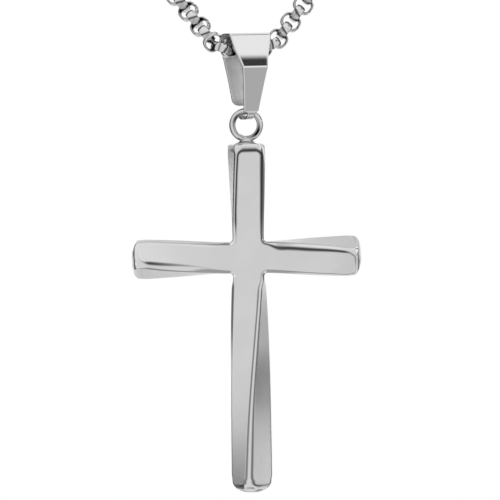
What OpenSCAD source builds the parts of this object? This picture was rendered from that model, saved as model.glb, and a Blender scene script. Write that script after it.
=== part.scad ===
// Cross pendant with twisted square bars, hung by a folded bail on a closed neck chain.
// Millimetres. +Z is up, the wearer faces -Y, and the origin is where the clasp rests on the nape.

/* [Cross] */
// Width over the two side arms
cross_w = 30; // [26:0.5:38]
// Height of the top arm's end above the middle of the crossing
cross_top = 14.7; // [13:0.1:18]
// Depth of the bottom arm's end below the middle of the crossing
cross_bottom = 30.6; // [26:0.1:36]
// Thickness of the square bars at the crossing
bar_w = 4.05; // [3.5:0.05:4.6]
// Thickness of the square bars at their ends
bar_end_w = 4.33; // [3.8:0.05:4.8]
// Radius of the bars' long edges
edge_r = 0.72; // [0.3:0.02:1.1]
// Rise of the domed ends
end_dome = 0.5; // [0.1:0.05:0.8]
// Radius between an end and the bar's sides
end_r = 0.6; // [0.3:0.05:0.9]
// Turn of the top arm's end about its own axis, in degrees
top_twist = 17; // [5:1:30]
// Turn of each side arm's end about its own axis, in degrees
side_twist = 31; // [10:1:45]
// Turn of the bottom arm's end about its own axis, in degrees
bottom_twist = 55; // [20:1:80]

/* [Eye ring] */
// Diameter of the ring through the middle of its wire
eye_d = 3.58; // [3.4:0.02:4.4]
// Thickness of the ring's wire
eye_wire_d = 0.83; // [0.6:0.01:0.9]
// Diameter of the weld between the ring and the top arm
weld_d = 1.6; // [1.2:0.1:2.4]
// Length of weld that shows between the top arm and the ring's wire
weld_h = 0.3; // [0.1:0.05:0.8]

/* [Bail] */
// Width of the strip over the chain
bail_w = 6.3; // [5:0.1:7]
// Width of the front leaf at its lower edge
bail_tip_w = 2.1; // [1.8:0.1:2.2]
// Thickness of the strip
bail_t = 0.4; // [0.3:0.01:0.42]
// Inside diameter of the loop round the chain
bail_bore = 3; // [3:0.1:4]
// Height from the eye ring's top wire to the middle of the loop
bail_h = 8.25; // [7.8:0.05:10]
// Width of the tongue under the eye ring
tongue_w = 1; // [0.8:0.02:1.1]
// Turn of the bail about the vertical, in degrees
bail_yaw = 30; // [0:1:32]

/* [Chain] */
// Diameter of the round box chain
chain_d = 2.7; // [2:0.05:2.75]
// Gap between the chain and the inside of the bail, at the top
chain_gap = 0.1; // [0.05:0.05:0.3]
// Radius of the chain's bend beside the bail
bend_r = 2.2; // [1.8:0.1:4]
// Slope of the strands beside the bail, in degrees
strand_slope = 50; // [35:1:60]

// Width of the worn loop over its sides
loop_w = 135; // [110:1:160]
// Distance from the nape forwards to the bail
loop_depth = 125.5; // [105:0.5:150]
// Distance from the nape down to the chain inside the bail
loop_drop = 114.5; // [90:0.5:140]

/* [Clasp] */
// Diameter of the barrel clasp
clasp_d = 4.6; // [3.4:0.1:6]
// Length of the barrel clasp
clasp_len = 13; // [9:0.5:20]
// Gap between each end of the chain and the clasp
clasp_gap = 0.1; // [0.05:0.05:0.3]

/* [Hidden] */
$fn = 48;

// Route of one strand from beside the bail to the nape, as shares of the loop's half-width, depth and drop, and
// how far the bail's yaw still sways the strand there (back on the right, forwards on the left).
strand_route = [
    [0.133, 0.978, 0.939, 1.5],
    [0.252, 0.96, 0.852, 0.5],
    [0.459, 0.896, 0.672, 0],
    [0.681, 0.781, 0.463, 0],
    [0.889, 0.59, 0.245, 0],
    [1, 0.351, 0.096, 0],
    [0.889, 0.116, 0.022, 0],
    [0.548, 0.004, 0, 0],
];
// Middle of the chain inside the bail, from the nape
bail_seat = [0, -loop_depth, -loop_drop];
span_steps = 4;
bend_steps = 3;
chain_sides = 8;
arm_steps = 12;
end_steps = 3;
corner_steps = 3;
fold_steps = 12;
hook_steps = 5;
quarter = 90;
fold_past = 10;

clasp_y = clasp_d / 2;
rope_end = clasp_len / 2 + clasp_gap;
loop_slope = atan2(-bail_seat.z, -bail_seat.y);
loop_normal = [0, -sin(loop_slope), cos(loop_slope)];
channel = [cos(bail_yaw), sin(bail_yaw), 0];
straight = bail_w / 2 - chain_gap;

// Heights from the middle of the crossing
wire_r = eye_wire_d / 2;
eye_r = eye_d / 2;
eye_z = cross_top + weld_h + wire_r + eye_r;
wire_z = eye_z + eye_r;
loop_z = wire_z + bail_h;
chain_z = loop_z + bail_bore / 2 - chain_d / 2 - chain_gap;
crossing = bail_seat - [0, 0, chain_z];

// Share of a side or top arm's turn that is reached at each share of its length
arm_turn = [[0, 0], [0.25, 0.04], [0.42, 0.2], [0.62, 0.47], [0.8, 0.69], [1, 1]];
steady_turn = [[0, 0], [1, 1]];
// Shares of an end's width at which the dome has a section, and the largest share of a section that its corners take
dome_shares = [0.7, 0.4, 0.15];
corner_share = 0.9;

// The weld's foot in the domed end, and how far it flares over the end and below the ring's wire
weld_root = 0.6;
weld_flare = 0.9;
weld_collar = 0.25;
weld_lip = 0.1;

// The bail's middle surface, seen along the chain: y is towards the front, z is from the crossing
mid_r = (bail_bore + bail_t) / 2;
hook_room = 0.7;
hook_slack = 0.5;
hook_round = 0.8;
hook_corner = hook_round + bail_t / 2;
hook_r = wire_r + hook_room + bail_t / 2;
hook_floor = wire_z - wire_r - hook_slack - bail_t / 2;
// The fold's front is a face that leans back, over a steeper band; the back leaf only bulges
face_lean = 13;
band_lean = 22;
corner_r = 0.7;
corner_rise = mid_r - corner_r;
corner_y = (corner_rise - corner_rise * sin(face_lean)) / cos(face_lean);
crease_drop = 1.05;
crease_y = (mid_r + crease_drop * sin(face_lean)) / cos(face_lean);
belly_drop = 2.5;
belly_y = crease_y + (belly_drop - crease_drop) * tan(band_lean);
back_bulge = 0.2;
back_belly_y = mid_r + back_bulge;
leaf_rise = 0.05;
leaf_z = wire_z + leaf_rise;
lean_rise = 0.6;
lean_z = leaf_z + lean_rise;
lean_out = 0.06;
lean_y = hook_r + lean_out;
heel_rise = 1;
heel_z = wire_z + heel_rise;
heel_y = hook_r;
tongue_rise = 0.7;
tongue_top = wire_z + tongue_rise;

// Half-width of the strip as shares of its taper, from the fold down to the front leaf's lower edge
taper = [[0, 1], [0.21, 0.76], [0.36, 0.5], [0.52, 0.32], [0.93, 0.04], [1, 0]];

// Chain route

function route_point(row, side) =
    [side * row[0] * loop_w / 2, side * row[3] - row[1] * loop_depth, -row[2] * loop_drop];
function bend(side) = [
    for (i = [0 : bend_steps])
        let (a = strand_slope * i / bend_steps)
        bail_seat + side * (straight + bend_r * sin(a)) * channel + [0, 0, bend_r * (1 - cos(a))]
];
function nape_end(side) = [side * rope_end, clasp_y, 0];
function knots(side) = concat(
    [bend(side)[0], bend(side)[bend_steps]],
    [for (row = strand_route) route_point(row, side)],
    [nape_end(side), [-side * rope_end, clasp_y, 0]]
);
// Catmull-Rom point between b and c
function spline(a, b, c, d, t) =
    0.5 * (2 * b + (c - a) * t + (2 * a - 5 * b + 4 * c - d) * t * t + (3 * b - a - 3 * c + d) * t * t * t);
function strand(side) = let (k = knots(side)) concat(
    bend(side),
    [
        for (i = [1 : len(k) - 3], j = [1 : span_steps])
            spline(k[i - 1], k[i], k[i + 1], k[i + 2], j / span_steps)
    ]
);
function reversed(list) = [for (i = [len(list) - 1 : -1 : 0]) list[i]];
function unit(v) = v / norm(v);
chain_route = concat(reversed(strand(-1)), strand(1));
function tangent(i) = let (n = len(chain_route) - 1)
    i == 0 || i == n ? [-1, 0, 0]
    : unit(unit(chain_route[i + 1] - chain_route[i]) + unit(chain_route[i] - chain_route[i - 1]));

// A closed skin over sections of n points each, from the first section to the last
module skin(points, n) {
    last = len(points) - n;
    polyhedron(points, concat(
        [
            for (i = [0 : n : last - n], k = [0 : n - 1], upper = [0, 1])
                let (a = i + k, b = i + (k + 1) % n)
                upper == 1 ? [a, a + n, b + n] : [a, b + n, b]
        ],
        [[for (k = [0 : n - 1]) k]],
        [[for (k = [n - 1 : -1 : 0]) last + k]]
    ), convexity = 6);
}

// A closed tube of the given radius along the chain's route
module tube(route, r, sides) {
    skin([
        for (i = [0 : len(route) - 1])
            let (t = tangent(i), u = unit(cross(loop_normal, t)), v = cross(t, u))
            for (k = [0 : sides - 1])
                route[i] + r * (cos(360 * k / sides) * u + sin(360 * k / sides) * v)
    ], sides);
}

// Bars

// A rounded square of half-size h, turned by a
function rounded_square(h, r, a) = [
    for (q = [0 : 3], k = [0 : corner_steps])
        let (
            c = (q + 0.5) * quarter,
            e = (q + k / corner_steps) * quarter,
            x = sign(cos(c)) * (h - r) + r * cos(e),
            y = sign(sin(c)) * (h - r) + r * sin(e)
        )
        [x * cos(a) - y * sin(a), x * sin(a) + y * cos(a)]
];
function bar_half(share) = (bar_w + (bar_end_w - bar_w) * share) / 2;
// Sections of one arm, from the crossing outwards: [distance, half-size, corner radius, turn]
function arm_body(length, turn, table) = [
    for (i = [0 : arm_steps])
        let (share = i / arm_steps)
        [(length - end_dome - end_r) * share, bar_half(share), edge_r, turn * lookup(share, table)]
];
function arm_end(length, turn) = let (h = bar_end_w / 2) concat(
    [
        for (i = [1 : end_steps])
            let (a = quarter * i / end_steps, s = h - end_r * (1 - cos(a)))
            [length - end_dome - end_r + end_r * sin(a), s, min(edge_r, s * corner_share), turn]
    ],
    [
        for (share = dome_shares)
            let (s = (h - end_r) * share)
            [length - end_dome * share * share, s, min(edge_r, s * corner_share), turn]
    ]
);
function arm(length, turn, table) = concat(arm_body(length, turn, table), arm_end(length, turn));

// A bar along +Z, with the low arm's sections below the crossing and the high arm's above
module bar(low, high) {
    rows = concat(
        [for (s = reversed(low)) [-s[0], s[1], s[2], -s[3]]],
        [for (i = [1 : len(high) - 1]) high[i]]
    );
    skin(
        [for (s = rows, p = rounded_square(s[1], s[2], s[3])) [p.x, p.y, s[0]]],
        4 * (corner_steps + 1)
    );
}

module eye_ring() {
    translate([0, 0, eye_z])
        rotate([90, 0, 0])
            rotate_extrude()
                translate([eye_r, 0])
                    circle(wire_r);
}

// The weld fills the space between the domed end and the ring's wire
module weld() {
    foot = cross_top - end_dome;
    rotate_extrude()
        polygon([
            [0, foot - weld_root],
            [weld_d / 2 + weld_flare, foot - weld_lip],
            [weld_d / 2 + weld_collar, cross_top],
            [weld_d / 2, cross_top + weld_h / 2],
            [weld_d / 2, cross_top + weld_h + wire_r],
            [0, cross_top + weld_h + wire_r]
        ]);
}

module cross() {
    color("silver")
        translate(crossing) {
            bar(arm(cross_bottom, bottom_twist, steady_turn), arm(cross_top, top_twist, arm_turn));
            rotate([0, 90, 0])
                bar(arm(cross_w / 2, side_twist, arm_turn), arm(cross_w / 2, side_twist, arm_turn));
            weld();
            eye_ring();
        }
}

// Bail

function arc(y, z, r, from, to, steps) = [
    for (i = [0 : steps])
        let (a = from + (to - from) * i / steps)
        [y + r * cos(a), z + r * sin(a)]
];
// Outline of a strip of thickness t along the middle line m
function strip(m, t) = let (
    n = len(m) - 1,
    w = [for (i = [0 : n]) let (d = unit(m[min(i + 1, n)] - m[max(i - 1, 0)])) [-d.y, d.x] * t / 2]
) concat([for (i = [0 : n]) m[i] + w[i]], reversed([for (i = [0 : n]) m[i] - w[i]]));

// From the back leaf's end up to its belly, over the chain, round the front corner and down the front leaf
leaf_line = concat(
    [[-heel_y, heel_z], [-back_belly_y, loop_z - belly_drop]],
    arc(0, loop_z, mid_r, 180 + fold_past, quarter, fold_steps),
    arc(corner_y, loop_z + corner_rise, corner_r, quarter, face_lean, hook_steps),
    [[crease_y, loop_z - crease_drop], [belly_y, loop_z - belly_drop], [lean_y, lean_z], [hook_r, leaf_z]]
);
// From the front leaf down, under the ring's wire and up behind it
tongue_line = concat(
    [[lean_y, lean_z], [hook_r, leaf_z]],
    arc(hook_r - hook_corner, hook_floor + hook_corner, hook_corner, 0, -90, hook_steps),
    arc(hook_corner - hook_r, hook_floor + hook_corner, hook_corner, -90, -180, hook_steps),
    [[-hook_r, tongue_top]]
);
taper_top = loop_z + mid_r + bail_t;
function taper_half(share) = (bail_tip_w + (bail_w - bail_tip_w) * lookup(share, taper)) / 2;
taper_edge = [for (row = taper) [taper_half(row[0]), taper_top + (leaf_z - taper_top) * row[0]]];

// Prism along the bail's depth over an outline drawn in its width and height
module through(deep) {
    translate([0, deep / 2, 0])
        rotate([90, 0, 0])
            linear_extrude(deep)
                children();
}

// Prism along the bail's width over an outline drawn in its depth and height, front towards -Y
module across(wide) {
    translate([wide / 2, 0, 0])
        rotate([0, 0, -90])
            rotate([90, 0, 0])
                linear_extrude(wide)
                    children();
}

module bail() {
    color("gainsboro")
        translate(crossing)
            rotate([0, 0, bail_yaw])
                union() {
                    intersection() {
                        across(bail_w)
                            polygon(strip(leaf_line, bail_t));
                        through(2 * belly_y + 2 * bail_t)
                            polygon(concat(taper_edge, reversed([for (p = taper_edge) [-p.x, p.y]])));
                    }
                    across(tongue_w)
                        polygon(strip(tongue_line, bail_t));
                }
}

module chain() {
    color("darkgray")
        tube(chain_route, chain_d / 2, chain_sides);
}

module clasp() {
    bevel = clasp_d / 8;
    color("silver")
        translate([-clasp_len / 2, clasp_y, 0])
            rotate([0, 90, 0])
                rotate_extrude()
                    polygon([
                        [0, 0],
                        [clasp_d / 2 - bevel, 0],
                        [clasp_d / 2, bevel],
                        [clasp_d / 2, clasp_len - bevel],
                        [clasp_d / 2 - bevel, clasp_len],
                        [0, clasp_len]
                    ]);
}

cross();
bail();
chain();
clasp();
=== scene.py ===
"""Steel cross pendant with twisted bars, its folded bail and the round box chain that carries it.

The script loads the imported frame, builds each sub-assembly at its real size and dresses it in steel. Sizes
are in millimetres and turn into the frame's metres where a mesh is made. The pendant's pieces are drawn round
the middle of the crossing and the chain's round the nape. The wearer faces -Y and +Z is up.
"""

import itertools
import logging
import math
from dataclasses import dataclass, field
from enum import Enum
from functools import partial
from typing import Any, Callable, NamedTuple, Sequence

import bmesh
import bpy
from mathutils import Matrix, Quaternion, Vector


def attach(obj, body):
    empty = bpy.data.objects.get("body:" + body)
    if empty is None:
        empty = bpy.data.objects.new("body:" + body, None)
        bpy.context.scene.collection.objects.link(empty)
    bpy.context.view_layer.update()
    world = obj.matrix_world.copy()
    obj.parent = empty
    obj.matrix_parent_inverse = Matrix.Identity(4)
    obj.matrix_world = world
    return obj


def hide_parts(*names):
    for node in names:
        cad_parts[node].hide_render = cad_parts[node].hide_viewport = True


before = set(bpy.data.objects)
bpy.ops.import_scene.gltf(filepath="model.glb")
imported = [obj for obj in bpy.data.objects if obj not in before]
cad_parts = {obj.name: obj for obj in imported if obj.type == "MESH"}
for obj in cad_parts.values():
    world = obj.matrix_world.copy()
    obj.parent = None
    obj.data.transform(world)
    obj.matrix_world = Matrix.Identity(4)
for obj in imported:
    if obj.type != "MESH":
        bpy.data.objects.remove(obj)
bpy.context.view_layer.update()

log = logging.getLogger("pendant")

MM = 0.001
# Points closer than this are one point, in metres
JOIN_DISTANCE = 1e-7
# Straight stretch beside each rounded corner of a line, which keeps the shading of the flats flat
BEND_MARGIN = 0.02
# Place of the painted dark line beside the cross's ridges, from the ridge
LINE_PLACE = 0.33
# Mark of a point that lies clear of every ridge, cut edge and end
CLEAR = 3.0
FULL_TURN = 2 * math.pi
# Middle of the chain inside the bail, and how far the crossing hangs below it
BAIL_SEAT = Vector((0.0, -125.5, -114.5))
CROSSING_DROP = 27.295
CROSSING = BAIL_SEAT - Vector((0.0, 0.0, CROSSING_DROP))
NAPE = Vector((0.0, 0.0, 0.0))
FRONT = Vector((0.0, -1.0, 0.0))


class Body(Enum):
    """Bodies of the frame that the pieces ride on."""

    CHAIN = "neck_chain"
    BAIL = "bail"
    CROSS = "cross"


class Mark(Enum):
    """Measures that a mesh carries at its points for its finish to read: two in millimetres and one share."""

    RIDGE = "from_ridge"
    # Distance from the end; the chain's links carry their painted brightness in it instead
    END = "from_end"
    # Strength of the painted dark line beside a ridge; on the bail it marks the satin side instead
    LINE = "line_strength"


class Knot(NamedTuple):
    """One row of a table: a share of a length, and the value that is reached there."""

    share: float
    value: float


class Corner(NamedTuple):
    """One corner of a line in a plane, with the radius that rounds it."""

    x: float
    y: float
    radius: float


def smooth_step(x: float, low: float, high: float) -> float:
    """Rise smoothly from 0 at low to 1 at high.

    Args:
        x: Where to read the curve.
        low: Where the rise starts.
        high: Where the rise ends.

    Returns:
        A value from 0 to 1.
    """
    t = min(max((x - low) / (high - low), 0.0), 1.0)
    return t * t * (3 - 2 * t)


def span(low: float, high: float, steps: int) -> list[float]:
    """List steps + 1 even values from low to high."""
    return [low + (high - low) * i / steps for i in range(steps + 1)]


def directions(count: int) -> list[float]:
    """List even directions once round, in radians."""
    return [FULL_TURN * k / count for k in range(count)]


def between(angle: float, other: float) -> float:
    """Find the turn from one direction to another the short way round, in radians."""
    return math.remainder(angle - other, FULL_TURN)


def bell(off: float, width: float) -> float:
    """Fall smoothly from 1 at no distance to almost 0 at twice the width."""
    return math.exp(-((off / width) ** 2))


def signed_power(value: float, power: float) -> float:
    """Raise a value's size to a power and keep its sign."""
    return math.copysign(abs(value) ** power, value)


def running_lengths(line: Sequence[Vector]) -> list[float]:
    """Measure a line from its start to each of its points."""
    return list(itertools.accumulate(((b - a).length for a, b in zip(line, line[1:])), initial=0.0))


def curve_through(table: Sequence[Knot], share: float) -> float:
    """Read a table as one smooth curve through its rows.

    Args:
        table: Rows in rising order of share.
        share: Where to read it.

    Returns:
        The value on the curve.
    """
    last = len(table) - 1
    i = max(k for k in range(last) if k == 0 or table[k].share <= share)
    a, b = table[i], table[i + 1]
    before, after = table[max(i - 1, 0)], table[min(i + 2, last)]
    width = b.share - a.share
    rise_a = (b.value - before.value) / (b.share - before.share) * width
    rise_b = (after.value - a.value) / (after.share - a.share) * width
    t = min(max((share - a.share) / width, 0.0), 1.0)
    return (
        (2 * t**3 - 3 * t**2 + 1) * a.value
        + (t**3 - 2 * t**2 + t) * rise_a
        + (3 * t**2 - 2 * t**3) * b.value
        + (t**3 - t**2) * rise_b
    )


def rounded_line(corners: Sequence[Corner], step: float) -> list[Vector]:
    """Draw a line through its corners, with each corner rounded and points about a step apart.

    Args:
        corners: Corners in order; the first and the last are the line's ends.
        step: Largest distance between points.

    Returns:
        Points of the line.
    """
    places = [Vector((c.x, c.y)) for c in corners]
    line = [places[0]]

    def run_to(target: Vector) -> None:
        """Add a straight run of points.

        Args:
            target: Where the run ends.
        """
        origin = line[-1].copy()
        steps = max(1, math.ceil((target - origin).length / step))
        line.extend(origin.lerp(target, share) for share in span(0, 1, steps)[1:])

    for before, here, after, corner in zip(places, places[1:], places[2:], corners[1:]):
        into, out = (here - before).normalized(), (after - here).normalized()
        turn = math.atan2(into.x * out.y - into.y * out.x, into.dot(out))
        bend_start = here - into * corner.radius * math.tan(abs(turn) / 2)
        run_to(bend_start - into * min(BEND_MARGIN, (bend_start - line[-1]).length / 2))
        line.append(bend_start)
        spoke = Vector((into.y, -into.x)) * math.copysign(corner.radius, turn)
        centre = line[-1] - spoke
        steps = max(2, math.ceil(abs(turn) * corner.radius / step))
        line.extend(centre + Matrix.Rotation(turn * share, 2) @ spoke for share in span(0, 1, steps)[1:])
        line.append(line[-1] + out * BEND_MARGIN)
    run_to(places[-1])
    return line


@dataclass
class Shell:
    """Points, faces and marks that are gathered before they become a mesh."""

    points: list[Vector] = field(default_factory=list)
    faces: list[tuple[int, ...]] = field(default_factory=list)
    marks: dict[Mark, list[float]] = field(default_factory=lambda: {mark: [] for mark in Mark})

    def add(self, point: Vector, ridge: float, end: float, line: float = 0.0) -> int:
        """Add a point with its marks.

        Args:
            point: Place in millimetres.
            ridge: Distance from the nearest ridge or cut edge, along the surface.
            end: Distance from the bar's or strip's end, along the surface; on the chain's links, their
                painted brightness.
            line: Strength of the painted dark line beside the ridge, from 0 to 1; on the bail it marks the
                satin side.

        Returns:
            The point's number.
        """
        self.points.append(point)
        self.marks[Mark.RIDGE].append(ridge)
        self.marks[Mark.END].append(end)
        self.marks[Mark.LINE].append(line)
        return len(self.points) - 1

    def loft(self, rows: Sequence[Sequence[int]]) -> None:
        """Join each ring of points to the next one with four-sided faces.

        Args:
            rows: Rings of point numbers, all equally long.
        """
        for low, high in zip(rows, rows[1:]):
            for k, corner in enumerate(low):
                n = (k + 1) % len(low)
                self.faces.append((corner, low[n], high[n], high[k]))

    def cap(self, row: Sequence[int]) -> None:
        """Close a ring of points with one face."""
        self.faces.append(tuple(row))

    def make(self, name: str, origin: Vector) -> bpy.types.Object:
        """Make the mesh object in metres, with doubled points joined and faces turned outwards.

        Args:
            name: Name of the piece.
            origin: Place of the shell's own zero, in millimetres.

        Returns:
            The new object, linked to the scene.
        """
        mesh = bpy.data.meshes.new(name)
        mesh.from_pydata([(p + origin) * MM for p in self.points], [], self.faces)
        for mark, values in self.marks.items():
            mesh.attributes.new(mark.value, "FLOAT", "POINT").data.foreach_set("value", values)
        work = bmesh.new()
        work.from_mesh(mesh)
        bmesh.ops.remove_doubles(work, verts=work.verts, dist=JOIN_DISTANCE)
        bmesh.ops.recalc_face_normals(work, faces=work.faces)
        work.to_mesh(mesh)
        work.free()
        mesh.shade_smooth()
        piece = bpy.data.objects.new(name, mesh)
        bpy.context.scene.collection.objects.link(piece)
        return piece


class Arm(Enum):
    """The cross's four arms, each with its own course of twist."""

    TOP = "top"
    BOTTOM = "bottom"
    LEFT = "left"
    RIGHT = "right"


@dataclass(frozen=True)
class ArmSize:
    """Course of one arm, in millimetres and degrees.

    Attributes:
        along: Direction that the arm points in.
        across: Direction that its section's width lies in before the twist.
        length: From the middle of the crossing to the tip.
        turn: Twist at the end, turned about the direction that the arm points in.
        course: Share of the turn along the arm.
        rows: Rows of points along the twisted stretch.
        front: Strength of the painted dark lines on the front face along its two sides, the lower side first.
        flank: Strength of the painted dark lines on the two side faces along the front, in the same order.
        edges: How far the two rounded front edges reach in, by share of the length, in the same order.
        fade: Share of the lines' strength that is left at the crossing.
        tip: Share of it that is left round the arm's end.
        end_radius: Radius that rounds the arm's end.
        border: How much further from the end than usual the painted dark line across the faces lies.
    """

    along: Vector
    across: Vector
    length: float
    turn: float
    course: Sequence[Knot]
    rows: int
    front: tuple[float, float]
    flank: tuple[float, float]
    edges: tuple[Sequence[Knot], Sequence[Knot]]
    fade: float = 1.0
    tip: float = 1.0
    end_radius: float = 0.45
    border: float = 0.0


# Share of the turn by share of the length: the bottom arm turns early and the others late
EARLY_TURN = (Knot(0, 0), Knot(0.34, 0.45), Knot(0.67, 0.8), Knot(1, 1))
LATE_TURN = (Knot(0, 0), Knot(0.25, 0.04), Knot(0.42, 0.2), Knot(0.62, 0.47), Knot(0.8, 0.69), Knot(1, 1))
X_AXIS = Vector((1.0, 0.0, 0.0))
Y_AXIS = Vector((0.0, 1.0, 0.0))
Z_AXIS = Vector((0.0, 0.0, 1.0))
TOP_EDGES = (Knot(0.4, 0.5), Knot(1, 0.46)), (Knot(0.5, 0.66), Knot(1, 1.05))
BOTTOM_EDGES = (
    (Knot(0.3, 0.72), Knot(1, 0.72)),
    (Knot(0.25, 0.52), Knot(0.6, 0.58), Knot(0.85, 0.76), Knot(1, 0.8)),
)
LEFT_EDGES = (Knot(0.45, 1.05), Knot(1, 0.68)), (Knot(0.5, 0.8), Knot(1, 0.9))
RIGHT_EDGES = (
    (Knot(0.4, 0.6), Knot(1, 0.72)),
    (Knot(0.26, 1.0), Knot(0.36, 0.95), Knot(0.5, 0.88), Knot(0.65, 0.74), Knot(0.85, 0.54), Knot(1, 0.5)),
)
ARMS = {
    Arm.TOP: ArmSize(
        Z_AXIS, X_AXIS, length=15.05, turn=17, course=LATE_TURN, rows=30,
        front=(1.0, 1.0), flank=(1.0, 0.2), edges=TOP_EDGES, border=0.45),
    Arm.BOTTOM: ArmSize(
        -Z_AXIS, X_AXIS, length=30.6, turn=55, course=EARLY_TURN, rows=64,
        front=(0.3, 0.75), flank=(0.3, 0.8), edges=BOTTOM_EDGES, end_radius=1.2),
    Arm.LEFT: ArmSize(
        -X_AXIS, Z_AXIS, length=15.15, turn=31, course=LATE_TURN, rows=32,
        front=(1.0, 0.05), flank=(0.6, 0.2), edges=LEFT_EDGES, fade=0.1, tip=0.25, end_radius=0.7),
    Arm.RIGHT: ArmSize(
        X_AXIS, Z_AXIS, length=14.65, turn=31, course=LATE_TURN, rows=32,
        front=(0.4, 1.0), flank=(0.2, 0.1), edges=RIGHT_EDGES, tip=0.6, end_radius=0.7),
}
# How far the front edges reach in at the crossing's inside corners, by a quarter's signs across and upwards
CORNER_EDGES = {(1, 1): 0.4, (-1, 1): 0.66, (-1, -1): 0.6, (1, -1): 0.6}
# The same for the strength of the painted dark line round the corner
CORNER_LINES = {(1, 1): 0.95, (-1, 1): 0.3, (-1, -1): 0.1, (1, -1): 0.4}


def quarter_at(size: ArmSize, side: int) -> tuple[int, int]:
    """Name the quarter beside one side of an arm, by its signs across and upwards."""
    return (side, round(size.along.z)) if size.along.z else (round(size.along.x), side)


class Sample(NamedTuple):
    """One point of a bar's square section, given from the corner or as a share of the side.

    Attributes:
        side: Signs of the quarter or the side that the point is on, across and outwards.
        share: Place on the flat of the side, from -1 to 1, or None on a rounded edge.
        inset: Distances in from the two sides on a rounded edge.
        ridge: Distance from the middle of the rounded edge along the surface.
    """

    side: tuple[int, int]
    share: float | None
    inset: tuple[float, float]
    ridge: float


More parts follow.
